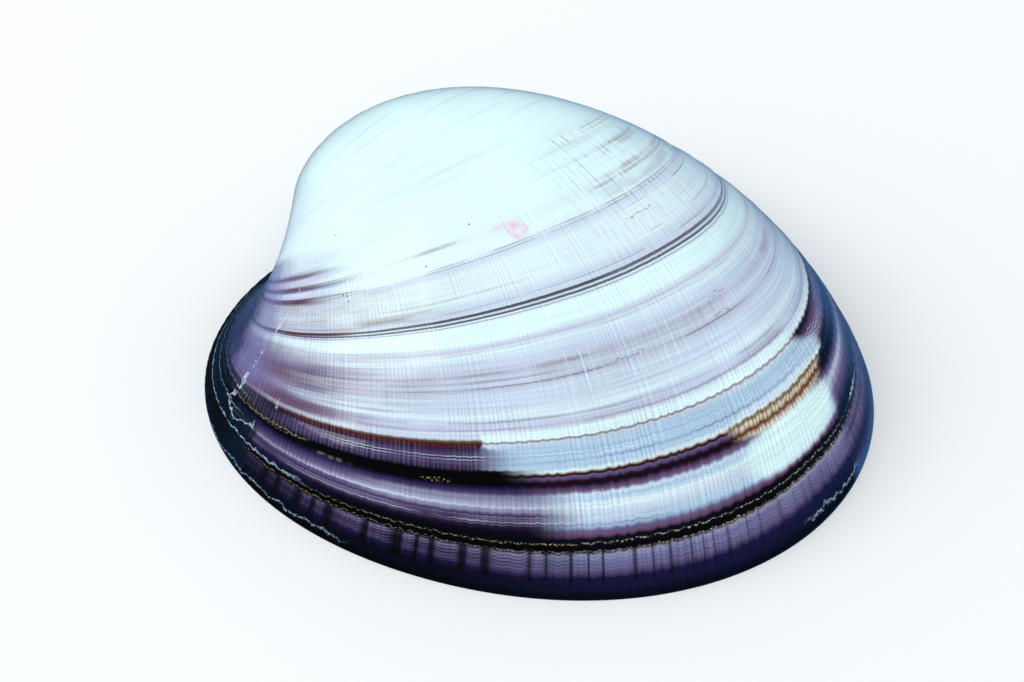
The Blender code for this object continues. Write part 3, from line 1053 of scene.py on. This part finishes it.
# %% [markdown]
# ## The porcelain inside
#
# The hollow was never polished: it is the smooth porcelain that the animal's mantle laid down. It is
# milky, with a lilac stain that gathers at the rear and at the margin, fine growth arcs, and muscle
# scars that shine more than what is round them. The cut rim shows the layers of the wall.

# %% The inside
inner = Recipe(bpy.data.materials.new("porcelain_inside"), "milk")
turn, grown, set_in = inner.parts("growth")
inner.turn, inner.grown = turn, grown
arcs = inner.grain(0.03, 110.0, 3.0)
inner.lay("cream", inner.rise(inner.grain(0.02, 3.0, 3.0), -0.4, 0.5), 0.55)
rearward = inner.times(turn, 0.005)
stain = inner.rise(inner.add(inner.grain(0.03, 7.0, 4.0), rearward), -0.15, 0.55)
inner.lay("lilac", stain, inner.rise(grown, 0.55, 0.88), 0.5)
inner.lay("heather", inner.rise(grown, 0.93, 0.995), inner.rise(arcs, -0.5, 0.5), 0.55)
inner.lay("dove", inner.rise(arcs, 0.0, 0.6), inner.rise(grown, 0.3, 0.6), 0.28)
scar_shares = []
for scar_turn, scar_scale, half_turn, half_scale in SCARS:
    across = inner.offset(turn, scar_turn, half_turn)
    down = inner.offset(grown, scar_scale, half_scale)
    scar_shares.append(inner.spot(across, down))
scarred = inner.reckon("MAXIMUM", *scar_shares)
inner.lay("mist", scarred, 0.75)
inner.lay("dove", scarred, inner.rise(inner.grain(0.05, 200.0), 0.0, 0.4), 0.5)
layers = inner.ramp(set_in, 0.0, 0.0032, """
    0 black 0.4 plum 0.6 lilac 0.8 pearl 1.3 milk 3.2 milk
""")
inner.lay(layers, inner.rise(set_in, 0.0024, 0.0012))
thin_layers = inner.cloud(inner.times(turn, 0.05), inner.times(set_in, 5200.0))
inner.lay("dove", inner.rise(thin_layers, 0.0, 0.5), inner.rise(set_in, 0.004, 0.0012), 0.35)
inner.wear({"Roughness": inner.between(scarred, 0.34, 0.18), "Specular IOR Level": 0.4})
inner.emboss(inner.add(arcs, thin_layers), 0.3, 0.00004)
print("nodes in the porcelain's recipe:", len(inner.tree.nodes))

# %% Which face gets which
mesh.materials.append(shell.holder)
mesh.materials.append(inner.holder)
face_rows = [np.repeat(np.arange(rows - 1), COLUMNS), np.zeros(COLUMNS), np.full(COLUMNS, rows)]
beyond_edge = np.concatenate(face_rows) >= OUTER_ROWS
mesh.polygons.foreach_set("material_index", beyond_edge.astype(np.int32))

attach(valve, "root")
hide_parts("valve")

# %% [markdown]
# ## Floor, light and camera
#
# A polished thing shows its surroundings, so the light is part of the finish. The floor is a pale
# disc. Sky and floor light the shell evenly from all round, but are darker and bluer where they are
# only mirrored: in a studio that is done with black cards and blue gels, and it keeps the dark bands
# deep and draws a thin cool rim. One window stands at the left, where its mirror image falls on the
# shoulder of the swell.

# %% The floor
FLOOR_RADIUS = 0.9
FLOOR_SIDES = 96
FLOOR_PAPER = (0.93, 0.935, 0.94, 1.0)
FLOOR_MIRRORED = (0.02, 0.07, 0.15, 1.0)
floor_turns = np.linspace(0.0, 2.0 * math.pi, FLOOR_SIDES, endpoint=False)
floor_rim = [np.cos(floor_turns), np.sin(floor_turns), np.zeros(FLOOR_SIDES)]
floor_points = FLOOR_RADIUS * np.stack(floor_rim, axis=-1)
floor_mesh = bpy.data.meshes.new("floor")
floor_mesh.from_pydata(floor_points.tolist(), [], [list(range(FLOOR_SIDES))])
ground = place("floor", floor_mesh)
paper = Recipe(bpy.data.materials.new("pale_floor"))
glossy_ray = paper.box("ShaderNodeLightPath").outputs["Is Glossy Ray"]
paper.colour = paper.mix(glossy_ray, FLOOR_PAPER, FLOOR_MIRRORED)
paper.wear({"Roughness": 1.0, "Specular IOR Level": 0.0})
floor_mesh.materials.append(paper.holder)

# %% The sky
SKY_COLOUR = (0.94, 0.98, 1.0, 1.0)
SKY_SEEN = 0.97
SKY_LIGHT = 0.92
SKY_MIRRORED = 0.05
sky = Recipe(bpy.data.worlds.new("studio"))
bpy.context.scene.world = sky.holder
sky_path = sky.box("ShaderNodeLightPath").outputs
lit = sky.between(sky_path["Is Glossy Ray"], SKY_LIGHT, SKY_MIRRORED)
sky.surface.inputs["Color"].default_value = SKY_COLOUR
sky.feed(sky.surface.inputs["Strength"], sky.between(sky_path["Is Camera Ray"], lit, SKY_SEEN))
bpy.context.scene.view_settings.view_transform = "Standard"


# %% The window and the fill
def softbox(name, middle, rightwards, upwards, size, radiance, colour):
    """A rectangular light, given by its middle and by the ways its width and height run; it shines
    along minus their cross product. Its power is radiance times pi times its area."""
    light = bpy.data.lights.new(name, "AREA")
    light.shape = "RECTANGLE"
    light.size, light.size_y = size
    light.energy = radiance * math.pi * size[0] * size[1]
    light.color = colour
    across = Vector(rightwards).normalized()
    back = across.cross(Vector(upwards)).normalized()
    place(name, light, middle, (across, back.cross(across), back))


WINDOW_CORNER = Vector((-0.773, 0.512, 0.392))
WINDOW_RIGHT = Vector((0.725, -0.175, 0.666))
WINDOW_UP = Vector((0.297, 0.952, -0.073))
WINDOW_SIZE = (0.5, 0.62)
WINDOW_RADIANCE = 2.3
WINDOW_COLOUR = (1.0, 1.0, 1.0)
FILL_MIDDLE = (1.03, -0.23, 0.57)
FILL_RIGHT = (0.22, 0.97, 0.0)
FILL_UP = (-0.47, 0.11, 0.88)
FILL_SIZE = (0.5, 0.5)
FILL_RADIANCE = 0.7
FILL_COLOUR = (0.75, 0.88, 1.0)
wide, high = WINDOW_SIZE
window_middle = WINDOW_CORNER + 0.5 * wide * WINDOW_RIGHT - 0.5 * high * WINDOW_UP
softbox("window", window_middle, WINDOW_RIGHT, WINDOW_UP, WINDOW_SIZE, WINDOW_RADIANCE, WINDOW_COLOUR)
softbox("fill", FILL_MIDDLE, FILL_RIGHT, FILL_UP, FILL_SIZE, FILL_RADIANCE, FILL_COLOUR)
print(f"window {window_middle.length:.2f} m from the shell, {window_middle.z:.2f} m up")

# %% The camera
AZIMUTH = math.radians(-18.409)
ELEVATION = math.radians(46.437)
ROLL = math.radians(2.658)
DISTANCE = 0.5934
TARGET = Vector((-0.00485, -0.00306, 0.012))
LENS = 146.85
SENSOR = 36.0
NEAREST = 0.01

back = Vector((
    math.sin(AZIMUTH) * math.cos(ELEVATION),
    -math.cos(AZIMUTH) * math.cos(ELEVATION),
    math.sin(ELEVATION),
))
level_right = Vector((math.cos(AZIMUTH), math.sin(AZIMUTH), 0.0))
level_up = back.cross(level_right)
right = math.cos(ROLL) * level_right + math.sin(ROLL) * level_up
upward = back.cross(right)
lens = bpy.data.cameras.new("view")
lens.lens = LENS
lens.sensor_width = SENSOR
lens.clip_start = NEAREST
bpy.context.scene.camera = place("view", lens, TARGET + DISTANCE * back, (right, upward, back))
